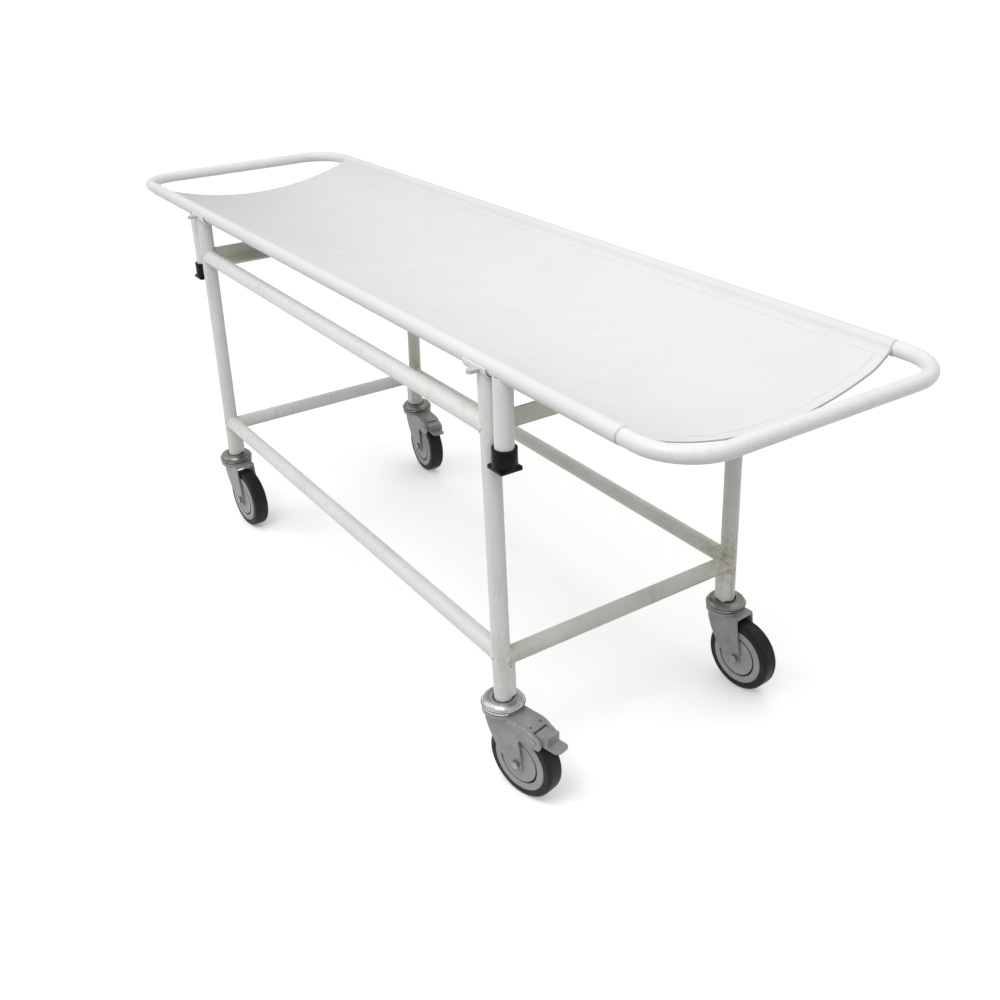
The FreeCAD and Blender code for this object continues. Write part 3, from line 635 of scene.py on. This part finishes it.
def make_sling():
    """The cloth of the bed and its two pockets, cut as one sheet."""
    section, seams = sling_section((HEAD_SAG + FOOT_SAG) / 2)
    section = np.array(section)
    columns = len(section)
    lengths = np.linspace(-CLOTH_END_X, CLOTH_END_X, LENGTH_STEPS + 1)
    rows = len(lengths)
    leftward = np.interp(section[:, 0], (-SIDE_Y, 0.8 * SIDE_Y, SIDE_Y), (0.0, 0.95, 0.3))
    footward = np.clip(lengths / CLOTH_END_X, 0, 1)
    rng = np.random.default_rng(4)
    slack = drifting(rng, rows, 9) * SLACK
    grid = np.zeros((rows, columns, 3))
    grid[:, :, 0] = lengths[:, None] + FOOT_SKEW * footward[:, None] * leftward[None, :]
    for row, share in enumerate(np.linspace(0, 1, rows)):
        grid[row, :, 1:] = sling_section(HEAD_SAG + (FOOT_SAG - HEAD_SAG) * share)[0]
    grid[:, seams[0]:seams[1] + 1, 0] += slack[:, None]
    column_index = np.arange(columns)
    held = (column_index <= seams[0]) | (column_index >= seams[1])
    pinned = np.flatnonzero(np.tile(held, rows))
    settled = settle(grid.reshape(-1, 3), rows, columns, pinned)
    grid = settled.reshape(rows, columns, 3)
    cut_across = lengths_along(section)
    whole = folded_hems(grid)
    cut_along = whole[:, seams[0] + 2, 0]
    rows = len(whole)
    sling = mesh_piece("sling_cloth", whole.reshape(-1, 3), grid_faces(rows, columns), CLOTH,
                       None)
    layer = sling.data.uv_layers.new(name="cut")
    for loop in sling.data.loops:
        row, column = divmod(loop.vertex_index, columns)
        layer.data[loop.index].uv = (cut_across[column], cut_along[row])
    smooth = sling.modifiers.new("smooth", "SUBSURF")
    smooth.levels = 1
    smooth.render_levels = 1
    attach(sling, "stretcher")
    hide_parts("sling", "sleeve_right", "sleeve_left")
    return sling, grid, seams


def stitch_row(gathered, line, normals, rng):
    """Short raised threads one after another along a line on the cloth."""
    lengths = lengths_along(line)
    count = int(lengths[-1] / STITCH_PITCH)

    def at(distance, values):
        return np.array([np.interp(distance, lengths, values[:, axis]) for axis in range(3)])

    for index in range(count):
        start = index * STITCH_PITCH + rng.uniform(0, 0.0004)
        places = []
        for share, lift in ((0.0, -0.2), (0.2, 0.6), (0.5, 0.9), (0.8, 0.6), (1.0, -0.2)):
            distance = start + STITCH_LENGTH * share
            places.append(at(distance, line) + at(distance, normals) * THREAD_R * lift)
        radii = np.array([0.6, 1.0, 1.0, 1.0, 0.6]) * THREAD_R
        gathered.add(*swept_tube(places, radii, closed=False, around=6))


def make_stitches(grid, seams):
    """Two rows along each pocket's seam and one row along each hem."""
    rng = random.Random(11)
    normals = grid_normals(grid)
    gathered = Gathered()
    for seam, inboard in zip(seams, (1, -1)):
        for share in (0.15, 1.05):
            line = grid[:, seam] * (1 - share) + grid[:, seam + inboard] * share
            stitch_row(gathered, line, normals[:, seam + inboard * 2], rng)
    rows_in = int(round((HEM_DEPTH - HEM_STITCH_INSET) / (2 * CLOTH_END_X / LENGTH_STEPS)))
    panel = slice(seams[0], seams[1] + 1)
    for row in (rows_in, len(grid) - 1 - rows_in):
        stitch_row(gathered, grid[row, panel], normals[row, panel], rng)
    return mesh_piece("sling_stitches", gathered.points, gathered.faces, THREAD,
                      "stretcher")


# ---------------------------------------------------------------- welds
def weld_run(gathered, line, closed, seed, radius=WELD_R):
    """A painted-over weld bead: overlapping ripples of uneven size along a joint."""
    rng = np.random.default_rng(seed)
    line = spaced(line, WELD_STEP, closed)
    count = len(line)
    ripple = 1.0 + 0.16 * np.sin(np.arange(count) * WELD_STEP / WELD_RIPPLE * 2 * math.pi)
    radii = radius * (ripple + 0.30 * drifting(rng, count, 7))
    if not closed:
        radii[0] *= 0.5
        radii[-1] *= 0.5
    gathered.add(*swept_tube(line, radii, closed))


def round_joint(axis, centre, radius, host_axis, host_radius, sign, steps=72):
    """Line where a tube about one axis runs into a round host about another axis."""
    axis, host_axis = np.array(axis, float), np.array(host_axis, float)
    third = np.cross(axis, host_axis)
    points = []
    for angle in np.linspace(0, 2 * math.pi, steps, endpoint=False):
        along_host = radius * math.cos(angle)
        beside = radius * math.sin(angle)
        depth = math.sqrt(max(host_radius ** 2 - beside ** 2, 0))
        points.append(np.array(centre) + host_axis * along_host + third * beside
                      + axis * sign * depth)
    return np.array(points)


def make_welds():
    """Beads where the rails, cradles and angles meet each leg."""
    trolley = Gathered()
    seed = 100
    for corner, (along, across, _) in CORNERS.items():
        side, end = ("right" if across < 0 else "left"), ("head" if along < 0 else "foot")
        joints = [
            ("lower_rail_" + side, (1, 0, 0), -along),
            ("upper_rail_" + side, (1, 0, 0), -along),
            ("lower_cross_" + end, (0, 1, 0), -across),
        ]
        for node, axis, sign in joints:
            height = node_middle(node).z
            centre = (along * leg_x(height), across * LEG_Y, height)
            line = round_joint(axis, centre, LEG_R, (0, 0, 1), LEG_R, sign)
            weld_run(trolley, line, True, seed)
            seed += 1
        cradle_r = TUBE_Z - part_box("cradle_" + corner)[0].z
        leg_top = (along * LEG_TOP_X, across * LEG_Y, TUBE_Z)
        line = round_joint((0, 0, 1), leg_top, LEG_R, (1, 0, 0), cradle_r, -1)
        weld_run(trolley, line, True, seed, WELD_R * 0.7)
        angle_low, angle_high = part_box("upper_angle_" + end)
        outer_x = angle_high.x if along > 0 else angle_low.x
        for inset in (0.0, ANGLE_THICK):
            x = outer_x - along * inset
            bottom, top = angle_low.z + inset, angle_high.z
            beside = x - along * leg_x((bottom + top) / 2)
            y = across * (LEG_Y - math.sqrt(LEG_R ** 2 - beside ** 2))
            weld_run(trolley, [(x, y, bottom), (x, y, top)], False, seed + 1, WELD_R * 0.8)
        seed += 2
    mesh_piece("trolley_welds", trolley.points, trolley.faces, FRAME_PAINT, "trolley")


def make_rib_fillets():
    """Welds ground smooth and painted over, filling the corner between each leg and its bar."""
    rib_low, rib_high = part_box("leg_ribs")
    heights = (rib_low.z, rib_high.z - 0.005)
    leg_side = LEG_R * 0.94
    section = [
        (leg_side, math.sqrt(LEG_R ** 2 - leg_side ** 2)),
        ((leg_side + RIB_HALF_WIDTH) / 2, RIB_REACH * 0.55),
        (RIB_HALF_WIDTH + 0.0005, RIB_REACH * 0.78),
        (RIB_HALF_WIDTH, RIB_REACH),
        (RIB_HALF_WIDTH - 0.001, RIB_REACH - 0.001),
        (RIB_HALF_WIDTH - 0.001, RIB_REACH * 0.4),
    ]
    fillets = Gathered()
    for along, across, _ in CORNERS.values():
        for hand in (-1, 1):
            points = []
            for height in heights:
                for beside, inboard in section:
                    points.append((along * leg_x(height) + hand * beside,
                                   across * (LEG_Y - inboard), height))
            count = len(section)
            sides = [(i, (i + 1) % count, count + (i + 1) % count, count + i) for i in range(count)]
            fillets.add(points, sides + [tuple(range(count)), tuple(range(count, 2 * count))])
    mesh_piece("rib_fillets", fillets.points, fillets.faces, FRAME_PAINT, "trolley",
               smooth=False)


# ---------------------------------------------------------------- wheels
def groove_ring(hub, side):
    """Flat dark ring of painted shade in the floor of one face's groove."""
    centre = node_middle("wheel_hub_" + hub)
    angle = math.radians(CORNERS[hub][2])
    ahead = Vector((math.cos(angle), math.sin(angle), 0))
    axle = Vector((-math.sin(angle), math.cos(angle), 0)) * side
    points = []
    faces = []
    steps = 96
    for index in range(steps):
        turn = 2 * math.pi * index / steps
        spoke = ahead * math.cos(turn) + Vector((0, 0, 1)) * math.sin(turn)
        for radius in (GROOVE_R - GROOVE_WIDTH / 2, GROOVE_R + GROOVE_WIDTH / 2):
            points.append(centre + spoke * radius + axle * GROOVE_FLOOR)
        inner, outer = 2 * index, 2 * index + 1
        following = 2 * ((index + 1) % steps)
        faces.append((inner, outer, following + 1, following))
    return points, faces


def make_cup_shade_rings():
    """Dark uneven rings of painted shade: in the recess where each leg enters its cup, and in the line
    round the cup.
    """
    gathered = Gathered()
    rng = np.random.default_rng(31)
    cup_low, cup_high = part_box("swivel_cup_foot_left")
    neck = cup_high.z - NECK_SHADE_DEPTH
    rings = [
        (neck, NECK_SHADE_R, NECK_SHADE_THICK, leg_x(neck)),
        (cup_low.z + CUP_LINE_RISE, (cup_high.x - cup_low.x) / 2, CUP_LINE_THICK, CASTER_X),
    ]
    steps = 60
    turns = np.linspace(0, 2 * math.pi, steps, endpoint=False)
    for along, across, _ in CORNERS.values():
        for height, radius, thick, x in rings:
            line = np.stack([along * x + radius * np.cos(turns),
                             across * LEG_Y + radius * np.sin(turns),
                             np.full(steps, height)], axis=1)
            radii = thick * (1 + 0.35 * drifting(rng, steps, 7))
            gathered.add(*swept_tube(line, radii, closed=True))
    mesh_piece("cup_shade_rings", gathered.points, gathered.faces, SHADE_BLACK, "trolley")


def make_hood_highlights():
    """Painted highlights: thin bright tubes along the long pressed edges of each braked fork's roof, where
    the edges catch the light.
    """
    for corner in BRAKED:
        along, across, angle = CORNERS[corner]
        turn = Matrix.Rotation(math.radians(angle), 3, "Z")
        centre = Vector((along * CASTER_X, across * LEG_Y, 0))
        gathered = Gathered()
        rng = np.random.default_rng(37)
        for side in (-1, 1):
            line = [centre + turn @ Vector((ahead, side * HOOD_EDGE_Y, height))
                    for ahead, height in HOOD_EDGE]
            line = spaced(np.array([tuple(point) for point in line]), 0.002)
            thick = HOOD_EDGE_R * (1 + 0.25 * rng.normal(0, 1, len(line)))
            gathered.add(*swept_tube(line, np.clip(thick, 0.0002, 0.0008), closed=False))
        mesh_piece("hood_highlights_" + corner, gathered.points, gathered.faces, HIGHLIGHT_EDGE,
                   "fork_body_" + corner)


def make_groove_shade():
    """Painted shade in both faces' grooves, one piece for each wheel."""
    for hub in CORNERS:
        gathered = Gathered()
        for side in (-1, 1):
            gathered.add(*groove_ring(hub, side))
        mesh_piece("groove_shade_" + hub, gathered.points, gathered.faces, SHADE_BLACK,
                   "wheel_body_" + hub)


# ---------------------------------------------------------------- stage
def make_world():
    """Soft studio dome: bright overhead, dimmer at eye level, warm grey from below."""
    world = bpy.data.worlds.new("studio")
    world.use_nodes = True
    tree = world.node_tree
    direction = tree.nodes.new("ShaderNodeTexCoord").outputs["Generated"]
    parts = tree.nodes.new("ShaderNodeSeparateXYZ")
    tree.links.new(direction, parts.inputs[0])
    spreads = []
    for limits in ((0.0, 1.0, *DOME), (*HORIZON, 1.0, 0.0)):
        spread = tree.nodes.new("ShaderNodeMapRange")
        tree.links.new(parts.outputs["Z"], spread.inputs["Value"])
        for name, value in zip(RANGE_SOCKETS, limits):
            spread.inputs[name].default_value = value
        spreads.append(spread.outputs["Result"])
    upward, below = spreads
    blend = tree.nodes.new("ShaderNodeMix")
    blend.data_type = "RGBA"
    colour_inputs = [socket for socket in blend.inputs if socket.type == "RGBA"]
    tree.links.new(below, blend.inputs["Factor"])
    tree.links.new(upward, colour_inputs[0])
    colour_inputs[1].default_value = (*LOWER_LIGHT, 1.0)
    result = next(socket for socket in blend.outputs if socket.type == "RGBA")
    tree.links.new(result, tree.nodes["Background"].inputs["Color"])
    bpy.context.scene.world = world


def make_stage():
    """Floor, plain colour handling and the two soft lamps."""
    corners = [(x * FLOOR_REACH, y * FLOOR_REACH, 0) for x, y in ((-1, -1), (1, -1), (1, 1), (-1, 1))]
    floor = mesh_piece("floor", corners, [(0, 1, 2, 3)], plain_floor(), None)
    floor.visible_diffuse = False
    bpy.context.scene.view_settings.view_transform = "Standard"
    for name, place, size, power in LAMPS:
        lamp = bpy.data.lights.new(name, "AREA")
        lamp.size = size
        lamp.energy = power
        holder = bpy.data.objects.new(name, lamp)
        holder.location = place
        holder.rotation_mode = "QUATERNION"
        backward = Vector(place) - LAMP_TARGET
        holder.rotation_quaternion = backward.to_track_quat("Z", "Y")
        bpy.context.scene.collection.objects.link(holder)


def make_camera():
    """Camera at the place and turn named at the top."""
    camera = bpy.data.cameras.new("camera")
    camera.lens = CAMERA_LENS
    camera.shift_x, camera.shift_y = CAMERA_SHIFT
    camera.clip_end = 100
    holder = bpy.data.objects.new("camera", camera)
    back = Vector((math.sin(CAMERA_AZIMUTH) * math.cos(CAMERA_ELEVATION),
                   -math.cos(CAMERA_AZIMUTH) * math.cos(CAMERA_ELEVATION),
                   math.sin(CAMERA_ELEVATION)))
    level = back.to_track_quat("Z", "Y").to_matrix()
    turn = level @ Matrix.Rotation(CAMERA_ROLL, 3, "Z")
    holder.matrix_world = Matrix.Translation(CAMERA_PLACE) @ turn.to_4x4()
    bpy.context.scene.collection.objects.link(holder)
    bpy.context.scene.camera = holder


dress_cad_nodes()
sling, sling_grid, sling_seams = make_sling()
stitches = make_stitches(sling_grid, sling_seams)
make_welds()
make_rib_fillets()
make_cup_shade_rings()
make_hood_highlights()
make_groove_shade()
for corner in CORNERS:
    soften_edges("fork_" + corner, 0.0009)
    soften_edges("swivel_cup_" + corner, 0.0006)
    soften_edges("foot_cap_" + corner, 0.0010)
for corner in BRAKED:
    soften_edges("brake_pedal_" + corner, 0.0012)
make_world()
make_stage()
make_camera()
